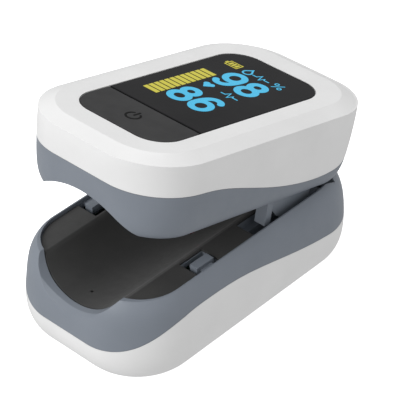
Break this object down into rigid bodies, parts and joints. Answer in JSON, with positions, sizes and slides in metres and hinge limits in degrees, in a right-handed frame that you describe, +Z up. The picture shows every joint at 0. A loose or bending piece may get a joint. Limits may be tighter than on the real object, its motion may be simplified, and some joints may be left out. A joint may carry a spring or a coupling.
{
  "type": "fingertip pulse oximeter",
  "caption": "Clip-on fingertip pulse oximeter: sprung clamshell jaws, dark finger pads, display panel with power key, sliding battery door.",
  "frame": {"origin": "centre of the flat underside that the lower jaw stands on", "axes": "+Y towards the hinge end, the finger goes in from -Y; +Z up, away from the table; +X to the right seen from the finger's end"},
  "size_m": [0.0358, 0.0645, 0.045],
  "materials": {
    "white_plastic": "satin white ABS",
    "grey_plastic": "fine-textured grey-blue ABS",
    "dark_silicone": "soft matt silicone",
    "smoked_panel": "smoked acrylic",
    "button_plastic": "satin dark plastic",
    "black_foam": "foam",
    "display_glass": "glass over a display",
    "circuit_board": "solder mask",
    "switch_metal": "stamped",
    "chip_black": "moulded epoxy",
    "clear_window": "red-tinted clear resin",
    "led_body": "moulded resin",
    "screw_steel": "zinc plated",
    "pin_steel": "ground",
    "spring_steel": "drawn wire",
    "contact_metal": "nickel plated",
    "battery_wrap": "printed sleeve",
    "ribbon_film": "polyimide film"
  },
  "bodies": {
    "lower_jaw": {"bottom_cover": "white_plastic", "lower_frame": "grey_plastic", "lower_pad": "dark_silicone", "detector_window": "clear_window", "photodiode": "led_body", "detector_board": "circuit_board", "battery_right": "battery_wrap", "battery_left": "battery_wrap", "contact_bridge": "contact_metal", "contact_spring_front": "contact_metal", "contact_spring_rear": "contact_metal", "terminal_negative": "contact_metal", "terminal_positive": "contact_metal", "lower_screws": "screw_steel", "hinge_pin_right": "pin_steel", "hinge_pin_left": "pin_steel", "closing_spring_right": "spring_steel", "closing_spring_left": "spring_steel", "sensor_ribbon": "ribbon_film"},
    "upper_jaw": {"top_cover": "white_plastic", "display_lens": "smoked_panel", "display_gasket": "black_foam", "oled_module": "display_glass", "main_board": "circuit_board", "button_switch": "switch_metal", "processor_chip": "chip_black", "ribbon_connector": "chip_black", "upper_frame": "grey_plastic", "upper_pad": "dark_silicone", "emitter_window": "clear_window", "emitter_leds": "led_body", "emitter_board": "circuit_board", "upper_screws": "screw_steel"},
    "power_button": {"power_button": "button_plastic"},
    "battery_door": {"battery_door": "white_plastic"}
  },
  "joints": [
    {"name": "jaw_hinge", "type": "hinge", "parent": "lower_jaw", "child": "upper_jaw", "pos_m": [0, 0.02, 0.013], "axis": [-1, 0, 0], "range_deg": [-15.2, 0], "stiffness_Nm_per_rad": 0.012, "springref_deg": -31.51, "deforming": ["closing_spring_right", "closing_spring_left", "sensor_ribbon"]},
    {"name": "power_button_press", "type": "slide", "parent": "upper_jaw", "child": "power_button", "axis": [0, -0.2622, -0.965], "range_m": [0, 0.00035], "stiffness_N_per_m": 1500},
    {"name": "battery_door_slide", "type": "slide", "parent": "lower_jaw", "child": "battery_door", "axis": [0, 1, 0], "range_m": [0, 0.046]}
  ]
}
